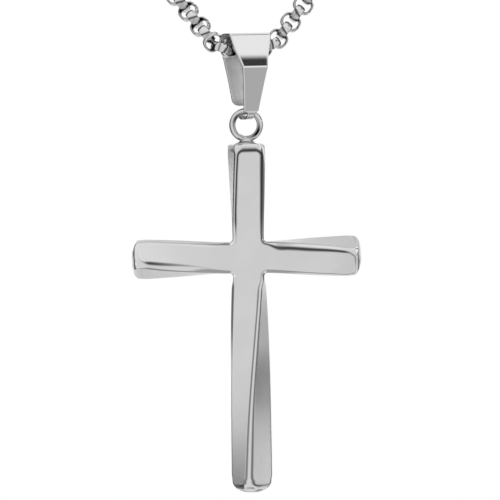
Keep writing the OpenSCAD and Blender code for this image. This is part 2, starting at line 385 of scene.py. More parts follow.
@dataclass
class Cross:
    """Cast cross with its eye ring and the weld under it, as one piece.

    Attributes:
        half: Half of the bars' thickness at the crossing.
        half_end: Half of the thickness at the ends.
        edge: How far each rounded edge reaches in from the sides.
        edge_radius: Radius of the two bends of a rounded edge, with a narrow flat between them.
        fillet: Radius of the inside corners of the crossing.
        dome: Height of the domed ends.
        end_edge: How far the rounded edges reach in at the ends.
        early_growth: Share of the growth to that reach where the rounding of an end starts.
        growth_run: Distance before that rounding over which the edges grow so far.
        end_line: How far past the start of the rounding the distance from the end counts as zero.
        soft_start: Distance over which an arm's twist sets in.
        straight_tip: Length at the tip that doesn't twist further.
        back_line: Strength of the painted dark lines on the back.
        line_blend: Share of a face's half over which one edge's strength turns into the other's.
        fade_span: Shares of an arm's length between which its lines gain their strength.
        tip_span: Distances from the tip between which they turn to the strength round the end.
        corner_reach: Distance from the crossing over which the strength at its corners gives way.
        ring_radius: Middle radius of the eye ring.
        wire_radius: Radius of the eye ring's wire.
        ring_height: Middle of the ring above the middle of the crossing.
        ring_steps: Points round the ring.
        ring_joint: Which of them has the dent of the ring's joint.
        sides: Points round its wire and the weld.
        weld_profile: Height and radius of the weld's rings, from the dome up to the wire.
        weld_foot: Height of the crease where the weld leaves the dome.
        weld_neck: Height of the fainter crease above it.
    """

    half: float = 2.025
    half_end: float = 2.165
    edge: float = 0.72
    edge_radius: float = 0.4
    fillet: float = 0.45
    dome: float = 0.2
    end_edge: float = 1.35
    early_growth: float = 0.35
    growth_run: float = 1.2
    end_line: float = 0.3
    soft_start: float = 1.6
    straight_tip: float = 1.1
    back_line: float = 0.5
    line_blend: float = 0.6
    fade_span: tuple[float, float] = (0.25, 0.9)
    tip_span: tuple[float, float] = (2.2, 1.2)
    corner_reach: float = 3.0
    ring_radius: float = 1.79
    wire_radius: float = 0.415
    ring_height: float = 17.205
    ring_steps: int = 96
    ring_joint: int = 70
    sides: int = 28
    weld_profile: Sequence[tuple[float, float]] = (
        (14.6, 1.9), (14.85, 1.5), (14.98, 1.2), (15.08, 0.95), (15.2, 0.76), (15.32, 0.67), (15.45, 0.63),
        (15.56, 0.58), (15.68, 0.46), (15.78, 0.2))
    weld_foot: float = 15.0
    weld_neck: float = 15.4

    def section(self) -> list[Sample]:
        """List the samples of a bar's square section once round.

        Returns:
            The samples of each flat side and of the rounded edge after it.
        """
        radius = self.edge_radius
        bend = [math.radians(a) for a in span(0, 45, 4)]
        arc = [(self.edge - radius * math.sin(a), radius * (1 - math.cos(a))) for a in bend]
        flat = (arc[-1][0] - arc[-1][1]) * math.sqrt(2)
        run = radius * math.pi / 4
        corner = [(dt, dy, flat / 2 + run - radius * a) for (dt, dy), a in zip(arc, bend)]
        middle = (corner[-1][0] + corner[-1][1]) / 2
        corner += [(middle, middle, 0.0)] + [(dy, dt, ridge) for dt, dy, ridge in reversed(corner)]
        sides = [(0, -1), (1, 0), (0, 1), (-1, 0)]
        samples: list[Sample] = []
        for side, next_side in zip(sides, sides[1:] + sides[:1]):
            sign = side[0] if side[0] else -side[1]
            for share in span(-1, 1, 14)[1:-1]:
                samples.append(Sample(side, sign * share, (0, 0), flat / 2 + run))
            quarter = (side[0] + next_side[0], side[1] + next_side[1])
            for dt, dy, ridge in corner:
                inset = (dt, dy) if side[1] else (dy, dt)
                samples.append(Sample(quarter, None, inset, ridge))
        return samples

    def edges(
        self, size: ArmSize, along: float, grown: float = 0.0, most: float = 9.0
    ) -> dict[tuple[int, int], float]:
        """Find how far the four rounded edges reach in at one place of an arm.

        Args:
            size: The arm's course.
            along: Distance from the middle of the crossing.
            grown: What the arm's end adds to them.
            most: Largest reach that the bar has room for.

        Returns:
            The reach by the signs of the edge's side across and outwards.
        """
        start = (self.half + self.fillet) / size.length
        reach = {}
        for side, later in zip((-1, 1), size.edges):
            table = (Knot(start, CORNER_EDGES[quarter_at(size, side)]), *later)
            reach[(side, -1)] = min(curve_through(table, along / size.length) + grown, most)
            reach[(side, 1)] = min(self.edge + grown, most)
        return reach

    def place(
        self, sample: Sample, half: float, edges: dict[tuple[int, int], float]
    ) -> tuple[float, float, float]:
        """Find a section sample's place and ridge mark on a bar of a given thickness.

        Args:
            sample: The section sample.
            half: Half of the bar's thickness there.
            edges: How far the rounded edges reach in there.

        Returns:
            Place across, place outwards and distance from the ridge.
        """
        if sample.share is None:
            scale = edges[sample.side] / self.edge
            across = sample.side[0] * (half - sample.inset[0] * scale)
            out = sample.side[1] * (half - sample.inset[1] * scale)
            return across, out, sample.ridge
        sign = 1 if sample.share > 0 else -1
        corner = (sample.side[0] or sign, sample.side[1] or sign)
        flat = (half - edges[corner]) * sample.share
        ridge = sample.ridge + (1 - abs(sample.share)) * (half - edges[corner])
        if sample.side[0]:
            return sample.side[0] * half, flat, ridge
        return flat, sample.side[1] * half, ridge

    def strength(self, sample: Sample, size: ArmSize, along: float) -> float:
        """Find how strong the painted dark line is beside a section sample.

        Args:
            sample: The section sample.
            size: The arm's course.
            along: Distance from the middle of the crossing.

        Returns:
            A share from 0 to 1.
        """
        back, blend = self.back_line, self.line_blend
        if sample.share is None:
            right = sample.side[0] > 0
            on_front = sample.inset[1] <= sample.inset[0]
            own = (size.front if on_front else size.flank)[right] if sample.side[1] < 0 else back
        elif sample.side[1] < 0:
            right = sample.share > 0
            own = size.front[0] + (size.front[1] - size.front[0]) * smooth_step(sample.share, -blend, blend)
        else:
            right = sample.side[0] > 0 or (sample.side[0] == 0 and sample.share > 0)
            own = back
            if sample.side[0]:
                own += (size.flank[right] - back) * smooth_step(-sample.share, -blend, blend)
        own *= size.fade + (1 - size.fade) * smooth_step(along / size.length, *self.fade_span)
        tip_start, tip_end = (size.length - off for off in self.tip_span)
        own *= 1 - (1 - size.tip) * smooth_step(along, tip_start, tip_end)
        at_corner = CORNER_LINES[quarter_at(size, 1 if right else -1)]
        return own + (at_corner - own) * (1 - smooth_step(along, self.half, self.half + self.corner_reach))

    def junction_row(self, size: ArmSize, share: float) -> list[tuple[float, float, float, float]]:
        """Lay one ring of samples between the crossing's diagonals and the start of the twist.

        Args:
            size: The arm's course.
            share: 0 on the diagonals and 1 where the twist starts.

        Returns:
            Places along, across and outwards, and the distance from the ridge, for each sample.
        """
        centre = self.half + self.fillet
        angle = math.radians(45 * (1 - share))
        edges = self.edges(size, centre)
        row = []
        for sample in self.section():
            across, out, ridge = self.place(sample, self.half, edges)
            reach_in = edges[(1 if across > 0 else -1, 1 if out > 0 else -1)]
            depth = min(self.half - abs(across), reach_in)
            reach = self.fillet + depth
            edge_along = centre - reach * math.sin(angle)
            edge_across = centre - reach * math.cos(angle)
            part = min(abs(across) / (self.half - reach_in), 1.0)
            along = (1 - part) * centre * share + part * edge_along
            row.append((along, math.copysign(part * edge_across, across), out, ridge))
        return row

    def end_rows(self, size: ArmSize) -> list[tuple[float, float, float, float, float]]:
        """List the rings that round an arm's end and close its dome.

        Args:
            size: The arm's course.

        Returns:
            Place along, half thickness, growth of the edges, end mark and ridge lift of each ring.
        """
        radius, length = size.end_radius, size.length
        # Turn of the rounding where it meets the cubic dome without a crease
        meet = math.atan2(self.half_end - radius * 0.7, 3 * self.dome)
        inner = self.half_end - radius * (1 - math.cos(meet))
        grown = self.end_edge - self.edge
        base = length - self.dome - radius * math.sin(meet)
        border = radius * meet / 2
        rows = []
        for angle in [meet * k / 6 for k in range(7)]:
            half = self.half_end - radius * (1 - math.cos(angle))
            mark = abs(angle * radius - border)
            more = grown * (self.early_growth + (1 - self.early_growth) * angle / meet)
            rows.append((base + radius * math.sin(angle), half, more, mark, 0.0))
        for share in (0.9, 0.78, 0.64, 0.5, 0.34, 0.17):
            half = inner * share
            mark = border + (1 - share) * inner * 1.15
            rows.append((length - self.dome * share**3, half, grown, mark, 2 * (1 - share)))
        return rows

    def arm(self, shell: Shell, size: ArmSize) -> None:
        """Add one arm from the crossing's diagonals to its domed tip.

        Args:
            shell: Shell that takes the arm.
            size: The arm's course.
        """
        start = self.half + self.fillet
        ends = self.end_rows(size)
        base = ends[0][0]
        mark = base + self.end_line - size.border
        body = size.length - self.straight_tip
        samples = self.section()
        rings: list[list[int]] = []

        def add_ring(row: Sequence[tuple[float, float, float, float]], end: float | None = None) -> None:
            """Add one ring of points, each turned by the twist at its distance.

            Args:
                row: Places along, across and outwards, and the distance from the ridge, for each sample.
                end: The ring's end mark, or None for each point's own distance from the end line.
            """
            ring = []
            for sample, (along, across, out, ridge) in zip(samples, row):
                soft = smooth_step(along, start, start + self.soft_start)
                turn = math.radians(size.turn) * curve_through(size.course, min(along / body, 1.0)) * soft
                flat = size.across * across + Y_AXIS * out
                point = size.along * along + Quaternion(size.along, turn) @ flat
                from_end = max(mark - along, 0.0) if end is None else end
                ring.append(shell.add(point, ridge, from_end, self.strength(sample, size, along)))
            rings.append(ring)

        for share in span(0, 1, 6):
            add_ring(self.junction_row(size, share))
        growth = (self.end_edge - self.edge) * self.early_growth
        for along in span(start, base, size.rows)[1:-1]:
            half = self.half + (self.half_end - self.half) * (along - start) / (base - start)
            edges = self.edges(size, along, growth * smooth_step(along, base - self.growth_run, base))
            add_ring([(along, *self.place(sample, half, edges)) for sample in samples])
        for along, half, more, end, lift in ends:
            # The reach stays short of the middle of the dome's small rings
            edges = self.edges(size, along, more, 0.9 * half)
            places = [self.place(sample, half, edges) for sample in samples]
            row = [(along, across, out, ridge + lift) for across, out, ridge in places]
            add_ring(row, max(end - size.border, 0.0))
        shell.loft(rings)
        shell.cap(rings[-1])

    def ring(self, shell: Shell) -> None:
        """Add the eye ring, a closed loop of round wire with the dent of its joint low on the left.

        Args:
            shell: Shell that takes the ring.
        """
        rings = []
        for k, around in enumerate(directions(self.ring_steps)):
            radius = self.wire_radius * (1 - 0.16 * bell(k - self.ring_joint, 1.2))
            # Where round the ring, in radians, its two painted dark reflection lines grow stronger
            low_right = bell(between(around, -0.6), 0.6)
            high_left = bell(between(around, 2.5), 0.6)
            left = bell(between(around, 3.4), 0.7)
            # Place round the wire and strength of the painted dark line on its inner and its outer side
            inner = (math.radians(246 + 16 * low_right), min(0.55 + 0.6 * low_right + 0.45 * high_left, 1.1))
            outer = (math.radians(326), 0.5 + 0.4 * left)
            out = Vector((math.cos(around), 0, math.sin(around)))
            row = []
            for angle in directions(self.sides):
                reach = self.ring_radius + radius * math.cos(angle)
                place = out * reach + Y_AXIS * radius * math.sin(angle) + Z_AXIS * self.ring_height
                off, painted_dark = min((abs(between(angle, at)) * radius, painted_dark) for at, painted_dark in (inner, outer))
                row.append(shell.add(place, LINE_PLACE + off, CLEAR, painted_dark))
            rings.append(row)
        shell.loft(rings + rings[:1])

    def weld(self, shell: Shell) -> None:
        """Add the lumpy weld between the top arm's dome and the eye ring.

        Args:
            shell: Shell that takes the weld.
        """
        foot, neck = self.weld_foot, self.weld_neck
        rings = []
        for height, radius in self.weld_profile:
            depth = 0.62 if height > foot else 0.85
            row = []
            for angle in directions(self.sides):
                lump = 1 + 0.05 * math.sin(3 * angle + 4 * height) + 0.03 * math.sin(5 * angle - 7 * height)
                out = Vector((math.cos(angle), depth * math.sin(angle), 0)) * radius * lump
                # Strength of the painted shade in the creases, uneven round the weld: at its foot and at its
                # neck
                crease = bell(height - foot - 0.03, 0.07) * (0.6 + 0.35 * math.sin(2 * angle + 0.6))
                crease += bell(height - neck, 0.1) * (0.25 + 0.3 * math.sin(3 * angle + 1.5))
                row.append(shell.add(out + Z_AXIS * height, LINE_PLACE, CLEAR, crease))
            rings.append(row)
        shell.loft(rings)
        shell.cap(rings[0])
        shell.cap(rings[-1])

    def build(self) -> bpy.types.Object:
        """Build the cross and let it ride on its body.

        Returns:
            The cross piece.
        """
        shell = Shell()
        for size in ARMS.values():
            self.arm(shell, size)
        self.ring(shell)
        self.weld(shell)
        piece = shell.make("cross_bars", CROSSING)
        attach(piece, Body.CROSS.value)
        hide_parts("cross")
        return piece

    def dress(self, piece: bpy.types.Object, finish: "Finish") -> None:
        """Give the piece its steel."""
        piece.data.materials.append(finish.material())


@dataclass
class Bail:
    """Folded strip that hangs on the chain and hooks under the eye ring.

    Heights are above the middle of the crossing. Places in depth are positive to the front.

    Attributes:
        thickness: Thickness of the strip.
        edge: Radius of its buffed edges.
        yaw: Turn of the bail about the upright axis, in degrees.
        loop_height: Height of the fold's middle.
        fold: Radius of the fold's middle line.
        waist: How far below the fold's middle the leaves start to draw together.
        reach: Depth of the strip's middle line at the ends of both leaves.
        back_end: Height of the back leaf's end.
        leaf_height: Height of the front leaf's end, where the tongue starts.
        hook_height: Height of the tongue's lowest stretch.
        hook_back: Depth of the tongue's end behind the ring's wire.
        hook_end: Height of the tongue's end.
        taper: Share of the extra width below the fold, by share of the way down to the ring.
        taper_top: Height above which the strip has its full width.
        tip: Width at the ring.
        top: Width over the fold.
        tongue: Half width of the tongue that hooks under the ring.
        tongue_run: Length over which the strip narrows to it.
        rounding: Radius of the back leaf's end corners.
        tongue_rounding: Radius of the tongue's end corners.
        least_half: Half width that is left at the very ends.
        step: Largest distance between rows of points.
    """

    thickness: float = 0.4
    edge: float = 0.09
    yaw: float = 30
    loop_height: float = 27.245
    fold: float = 1.7
    waist: float = 2.5
    reach: float = 1.315
    back_end: float = 19.7
    leaf_height: float = 19.045
    hook_height: float = 18.1
    hook_back: float = 1.18
    hook_end: float = 19.1
    taper: Sequence[Knot] = (
        Knot(0, 1), Knot(0.21, 0.76), Knot(0.36, 0.5), Knot(0.52, 0.32), Knot(0.93, 0.04), Knot(1, 0))
    taper_top: float = 29.345
    tip: float = 2.1
    top: float = 6.3
    tongue: float = 0.5
    tongue_run: float = 0.32
    rounding: float = 0.8
    tongue_rounding: float = 0.3
    least_half: float = 0.12
    step: float = 0.12

    def half_width(self, height: float) -> float:
        """Find half of the strip's width at a height on its two leaves and the fold."""
        share = (self.taper_top - height) / (self.taper_top - self.leaf_height)
        return (self.tip + (self.top - self.tip) * curve_through(self.taper, min(max(share, 0.0), 1.0))) / 2

    def line(self) -> list[Vector]:
        """Draw the strip's middle line from the back leaf's end over the fold to the tongue's end.

        Returns:
            Points of the line, in depth and height.
        """
        loop, waist = self.loop_height, self.loop_height - self.waist
        corners = (
            Corner(-self.reach, self.back_end, 0),
            Corner(-1.9, waist, 2.0),
            Corner(-self.fold, loop + self.fold, self.fold),
            # The front of the fold is flattened between two creases
            Corner(1.352, loop + self.fold, 0.14),
            Corner(1.987, loop - 1.05, 9.0),
            Corner(2.573, waist, 0.2),
            Corner(self.reach, self.leaf_height, 0.1),
            Corner(self.reach, self.hook_height, 0.8),
            Corner(-self.hook_back, self.hook_height, 0.7),
            Corner(-self.hook_back, self.hook_end, 0),
        )
        return rounded_line(corners, self.step)

    def section(self, half: float) -> list[tuple[float, float, float]]:
        """Lay the strip's section at a given half width.

        Args:
            half: Half of the strip's width.

        Returns:
            Place across, place through the thickness and distance from the cut edge for each point.
        """
        thin = self.thickness / 2
        radius = self.edge
        points: list[tuple[float, float, float]] = []
        for x_sign, t_sign, first in ((1, -1, 270), (1, 1, 0), (-1, 1, 90), (-1, -1, 180)):
            for angle in span(first, first + 90, 3):
                a = math.radians(angle)
                x = x_sign * (half - radius) + radius * math.cos(a)
                t = t_sign * (thin - radius) + radius * math.sin(a)
                points.append((x, t, 0.0))
            if x_sign == t_sign:
                # The flat face that follows this rounded edge
                for share in (0.9, 0.6, 0.3, 0.0, -0.3, -0.6, -0.9):
                    points.append((x_sign * share * (half - radius), t_sign * thin, (1 - abs(share)) * half))
        return points

    def build(self) -> bpy.types.Object:
        """Build the bail and let it ride on its body.

        Returns:
            The bail piece.
        """
        line = self.line()
        lengths = running_lengths(line)
        folded = max(range(len(line)), key=lambda k: line[k].y)
        leaf_end = min(k for k in range(folded, len(line)) if line[k].y <= self.leaf_height)
        turn = Quaternion(Z_AXIS, math.radians(self.yaw))
        shell = Shell()
        rings: list[list[int]] = []
        for k, spot in enumerate(line):
            along = (line[min(k + 1, len(line) - 1)] - line[max(k - 1, 0)]).normalized()
            normal = Vector((-along.y, along.x))
            half = self.half_width(spot.y)
            if k > leaf_end:
                drop = lengths[k] - lengths[leaf_end]
                half = self.tongue + (half - self.tongue) * (1 - smooth_step(drop, 0.0, self.tongue_run))
            near = min(lengths[k], lengths[-1] - lengths[k])
            round_by = self.rounding if k < folded else self.tongue_rounding
            if near < round_by:
                half -= round_by - math.sqrt(max(round_by**2 - (round_by - near) ** 2, 0.0))
            # The end mark carries painted shade on the cut ends and on the tongue under the ring; the line
            # mark keeps the leaves' inner side satin
            end_shade_mark = min(near, 0.5 if k > leaf_end else 1.0)
            row = []
            for x, t, border in self.section(max(half, self.least_half)):
                flat = spot + normal * t
                place = turn @ Vector((x, -flat.x, flat.y))
                row.append(shell.add(place, border, end_shade_mark, 1.0 if t < 0 and k <= leaf_end else 0.0))
            rings.append(row)
        shell.loft(rings)
        shell.cap(rings[0])
        shell.cap(rings[-1])
        piece = shell.make("bail_strip", CROSSING)
        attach(piece, Body.BAIL.value)
        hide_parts("bail")
        return piece

    def dress(self, piece: bpy.types.Object, finish: "Finish") -> None:
        """Give the piece its steel."""
        piece.data.materials.append(finish.material())


class Side(Enum):
    """The chain's two strands, by the sign of the side that they rise on."""

    LEFT = -1
    RIGHT = 1


@dataclass
class Chain:
    """Round box chain, links of bent strip that are set crosswise, in two strands from the bail to the clasp.

    Attributes:
        along: Half of a link's length along the chain.
        across: Half of its width across the chain.
        strip: Thickness of the strip.
        width: Width of the strip.
        crown: How far the strip's outer face rises in its middle.
        pitch: Distance between the middles of neighbouring links.
        seat_pitch: The same for the slack links in and beside the bail.
        seat_links: How many links on each side are that slack.
        seat_shift: How far the link in the bail sits to the right of its middle.
        squareness: Power of the rounded square that a link follows.
        corners: Points round a link.
        joint: Half of the joint's gap, in degrees round the link.
        slant: Slant of the joint over the strip's half width, in degrees round the link.
        jitter: Mean distance of the joint from the middle of its side, and its change from link to link.
        facing: Length from the seat in which the links keep facing forwards.
        loop_width: Width of the loop that the necklace hangs in.
        loop_depth: Its depth from the nape to the bail.
        loop_drop: Its height from the bail to the nape.
        seat_yaw: Turn of the stretch in the bail about the upright axis, in degrees.
        seat_flat: Half of that stretch's level length.
        seat_bend: Radius of the bends beside it.
        seat_slope: How steeply the strands leave the bends, in degrees.
        clasp_end: Half of the clasp's length with its gap.
        clasp_out: Middle of the clasp behind the nape.
        route: Points of a strand from the bail to the clasp: shares of the half width, the depth and the
            drop, and how far the strand swings back there.
        gap_depth: How deep the joint's gap lies below the strip's edge.
        brow: Depth below the strip's edge down to which its surface counts as the outer face.
        swirl: Mean brightness and change of the darker waves past the joint.
        swirl_turns: Where it starts and ends, in degrees round the link.
        shadow_crescent: Brightness of the painted shadow crescent before the joint.
        shadow_crescent_turns: Where it starts and ends.
    """

    along: float = 1.2
    across: float = 1.35
    strip: float = 0.26
    width: float = 1.2
    crown: float = 0.08
    pitch: float = 1.42
    seat_pitch: float = 1.28
    seat_links: int = 4
    seat_shift: float = 0.19
    squareness: float = 2.8
    corners: int = 36
    joint: float = 4.5
    slant: float = 12.0
    jitter: tuple[float, float] = (12.0, 6.0)
    facing: float = 15.0
    loop_width: float = 135.0
    loop_depth: float = 125.5
    loop_drop: float = 114.5
    seat_yaw: float = 30.0
    seat_flat: float = 3.05
    seat_bend: float = 2.2
    seat_slope: float = 50.0
    clasp_end: float = 6.6
    clasp_out: float = 2.3
    route: Sequence[tuple[float, float, float, float]] = (
        (0.133, 0.978, 0.939, 1.5), (0.252, 0.96, 0.852, 0.5), (0.459, 0.896, 0.672, 0),
        (0.681, 0.781, 0.463, 0), (0.889, 0.59, 0.245, 0), (1, 0.351, 0.096, 0),
        (0.889, 0.116, 0.022, 0), (0.548, 0.004, 0, 0))
    gap_depth: float = 0.12
    brow: float = 0.1
    swirl: tuple[float, float] = (0.66, 0.2)
    swirl_turns: tuple[float, float] = (90.0, 150.0)
    shadow_crescent: float = 0.15
    shadow_crescent_turns: tuple[float, float] = (44.0, 56.0)

    def outwards(self, side: Side) -> Vector:
        """Find the direction in which a strand leaves the bail."""
        yaw = math.radians(self.seat_yaw)
        return Vector((math.cos(yaw), math.sin(yaw), 0)) * side.value

    def bend_point(self, out: Vector, angle: float) -> Vector:
        """Find a point of the bend beside the bail.

        Args:
            out: Direction in which the strand leaves the bail.
            angle: How far the strand has turned up from level there, in degrees.

        Returns:
            The point.
        """
        a = math.radians(angle)
        reach = self.seat_flat + self.seat_bend * math.sin(a)
        return BAIL_SEAT + out * reach + Z_AXIS * self.seat_bend * (1 - math.cos(a))

    def knots(self, side: Side) -> list[Vector]:
        """List the points that one strand passes through from the bail to past the clasp.

        Args:
            side: Which strand.

        Returns:
            The points. The first and the last only give the line its direction.
        """
        sign = side.value
        out = self.outwards(side)
        places = [self.bend_point(out, angle) for angle in (0, self.seat_slope)]
        for wide, deep, low, sway in self.route:
            x = sign * wide * self.loop_width / 2
            places.append(Vector((x, sign * sway - deep * self.loop_depth, -low * self.loop_drop)))
        places += [Vector((sign * end, self.clasp_out, 0)) for end in (self.clasp_end, -self.clasp_end)]
        return places

    def strand_line(self, side: Side) -> list[Vector]:
        """Draw one strand's middle line in short steps.

        Args:
            side: Which strand.

        Returns:
            Points of the line from the middle of the bail to the clasp's end.
        """
        out = self.outwards(side)
        line = [BAIL_SEAT + out * self.seat_flat * share for share in span(0, 1, 12)]
        line += [self.bend_point(out, angle) for angle in span(0, self.seat_slope, 12)[1:]]
        knots = self.knots(side)
        for a, b, c, d in zip(knots, knots[1:], knots[2:], knots[3:]):
            for t in span(0, 1, 60)[1:]:
                bend = 2 * a - 5 * b + 4 * c - d
                line.append(0.5 * (2 * b + (c - a) * t + bend * t**2 + (3 * b - a - 3 * c + d) * t**3))
        return line

    def section(self) -> list[tuple[float, float, float]]:
        """Lay the strip's section, from its inner face round the crowned outer one and back.

        Returns:
            Depth out from the inner face, place over the width and painted brightness for each point, low for
            the painted shade on the inner face.
        """
        rim = self.width / 2
        half = [
            (0.0, -rim + 0.06, 0.0),
            (0.04, -rim, 0.35),
            (self.strip - 0.13, -rim, 0.9),
            (self.strip - 0.05, -rim + 0.07, 1.0),
            (self.strip + self.crown * 0.6, -rim * 0.5, 1.0),
        ]
        crown = (self.strip + self.crown, 0.0, 1.0)
        other = [(depth, -wide, painted_tone) for depth, wide, painted_tone in reversed(half)]
        return [*half, crown, *other, (0.0, 0.0, 0.0)]

    def turns(self) -> list[float]:
        """List the directions round a link where its strip has a ring of points.

        Returns:
            The directions in degrees, with the joint at 90 and the points closer there.
        """
        near = (24.0, 14.0, 8.0, self.joint)
        close = [90 + sign * off for off in near for sign in (-1, 1)]
        step = 360 / self.corners
        wide = [k * step for k in range(self.corners) if not 60 < k * step < 120]
        return sorted([*wide, *close])

    def link(self, shell: Shell, middle: Vector, along: Vector, across: Vector, jitter: float) -> None:
        """Add one link, a loop of strip bent round to a joint with a fine gap.

        Args:
            shell: Shell that takes the link.
            middle: Middle of the link.
            along: Direction of the chain there.
            across: Direction across the chain in the plane of the loop, with the joint on that side.
            jitter: How far the joint lies from the middle of its side, in degrees.
        """
        face = along.cross(across)
        rim = self.width / 2
        power = 2 / self.squareness
        skin = self.strip + self.crown
        half_u, half_v = self.along - skin, self.across - skin
        rings: list[list[int]] = []
        for turn in self.turns():
            from_joint = abs(turn - 90)
            row = []
            for depth, wide, painted_tone in self.section():
                shift = self.slant * wide / rim * max(1 - from_joint / 40, 0)
                a = math.radians(turn + shift + jitter * max(1 - from_joint / 60, 0))
                x = signed_power(math.cos(a), power) * half_u
                y = signed_power(math.sin(a), power) * half_v
                slope_u = signed_power(x / half_u, self.squareness - 1) / half_u
                slope_v = signed_power(y / half_v, self.squareness - 1) / half_v
                normal = (along * slope_u + across * slope_v).normalized()
                if from_joint < self.joint * 1.02:
                    depth, painted_tone = min(depth, self.strip - self.gap_depth), 0.0
                elif depth > self.strip - self.brow:
                    if self.swirl_turns[0] < turn < self.swirl_turns[1]:
                        wave = math.sin(math.radians(6 * turn) + 3 * wide / rim + jitter)
                        painted_tone *= self.swirl[0] + self.swirl[1] * wave
                    if self.shadow_crescent_turns[0] < turn < self.shadow_crescent_turns[1]:
                        painted_tone *= self.shadow_crescent
                place = middle + along * x + across * y + normal * depth + face * wide
                # The painted brightness goes into the end mark: painted shade on the inner face and a painted
                # shadow crescent before the joint
                row.append(shell.add(place, rim - abs(wide), painted_tone))
            rings.append(row)
        shell.loft(rings + rings[:1])

    def strand(self, side: Side) -> Shell:
        """Lay the links of one strand.

        Args:
            side: Which strand.

        Returns:
            The shell with its links.
        """
        line = self.strand_line(side)
        lengths = running_lengths(line)
        shift = self.seat_shift * side.value
        slack = shift + self.seat_pitch * self.seat_links
        total = lengths[-1] + self.along * 0.75 - slack
        count = round(total / self.pitch) + self.seat_links
        pitch = total / (count - self.seat_links)
        shell = Shell()
        # The link in the bail belongs to the right strand
        first = 0 if side is Side.RIGHT else 1
        face = FRONT
        here = 0
        for k in range(count + 1):
            wanted = shift + self.seat_pitch * k
            if k > self.seat_links:
                wanted = slack + pitch * (k - self.seat_links)
            target = min(max(wanted, 0.0), lengths[-1] - 1e-6)
            while lengths[here + 1] < target:
                here += 1
            share = (target - lengths[here]) / (lengths[here + 1] - lengths[here])
            along = (line[here + 1] - line[here]).normalized()
            middle = line[here].lerp(line[here + 1], share) + along * (wanted - target)
            wish = FRONT if wanted < self.facing else face
            face = (wish - along * along.dot(wish)).normalized()
            if k < first:
                continue
            across = along.cross(face)
            mean, change = self.jitter
            jitter = mean + change * math.sin(2.4 * k * side.value + 1)
            self.link(shell, middle, along, across if k % 2 == 0 else face, jitter)
        log.info("strand %s: %d links at a pitch of %.3f mm", side.name.lower(), count + 1 - first, pitch)
        return shell

    def build(self) -> list[bpy.types.Object]:
        """Build both strands and let them ride on the chain's body.

        Returns:
            The two strand pieces.
        """
        pieces = []
        for side in Side:
            piece = self.strand(side).make(f"chain_strand_{side.name.lower()}", NAPE)
            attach(piece, Body.CHAIN.value)
            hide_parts("chain")
            pieces.append(piece)
        return pieces

    def dress(self, pieces: Sequence[bpy.types.Object], finish: "Finish") -> None:
        """Give both strands the same steel.

        Args:
            pieces: The strands.
            finish: Their finish.
        """
        material = finish.material()
        for piece in pieces:
            piece.data.materials.append(material)


@dataclass
class Clasp:
    """Plain closed barrel.

    Attributes:
        radius: Radius of the barrel.
        length: Length of the barrel.
        out: Middle of the barrel behind the nape.
        bevel: Size of the rounded ends.
        mouth: Radius of the flat at each end.
        groove: Depth of the line where the halves meet.
        sides: Points round the barrel.
    """

    radius: float = 2.3
    length: float = 13.0
    out: float = 2.3
    bevel: float = 0.575
    mouth: float = 0.6
    groove: float = 0.12
    sides: int = 64

    def build(self) -> bpy.types.Object:
        """Build the clasp and let it ride on the chain's body.

        Returns:
            The clasp piece.
        """
        half = self.length / 2
        profile: list[tuple[float, float]] = [(-half, self.mouth)]
        for angle in span(0, 90, 8):
            a = math.radians(angle)
            reach = self.radius - self.bevel + self.bevel * math.sin(a)
            profile.append((-half + self.bevel * (1 - math.cos(a)), reach))
        profile += [(x, self.radius) for x in (-4.2, -1.0, -0.14)] + [(-0.1, self.radius - self.groove)]
        profile += [(-x, r) for x, r in reversed(profile)]
        shell = Shell()
        rings = []
        for x, reach in profile:
            row = []
            for a in directions(self.sides):
                place = Vector((x, self.out + reach * math.cos(a), reach * math.sin(a)))
                row.append(shell.add(place, CLEAR, CLEAR))
            rings.append(row)
        shell.loft(rings)
        shell.cap(rings[0])
        shell.cap(rings[-1])
        piece = shell.make("clasp_barrel", NAPE)
        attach(piece, Body.CHAIN.value)
        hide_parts("clasp")
        return piece

    def dress(self, piece: bpy.types.Object, finish: "Finish") -> None:
        """Give the piece its steel."""
        piece.data.materials.append(finish.material())


def linear(hex_colour: str) -> tuple[float, float, float, float]:
    """Turn an sRGB hex colour into Blender's linear values.

    Args:
        hex_colour: A hash and six hex digits.

    Returns:
        Red, green and blue, and 1 for alpha.
    """
    channels = [int(hex_colour[i:i + 2], 16) / 255 for i in (1, 3, 5)]
    values = [c / 12.92 if c <= 0.04045 else ((c + 0.055) / 1.055) ** 2.4 for c in channels]
    return (values[0], values[1], values[2], 1.0)


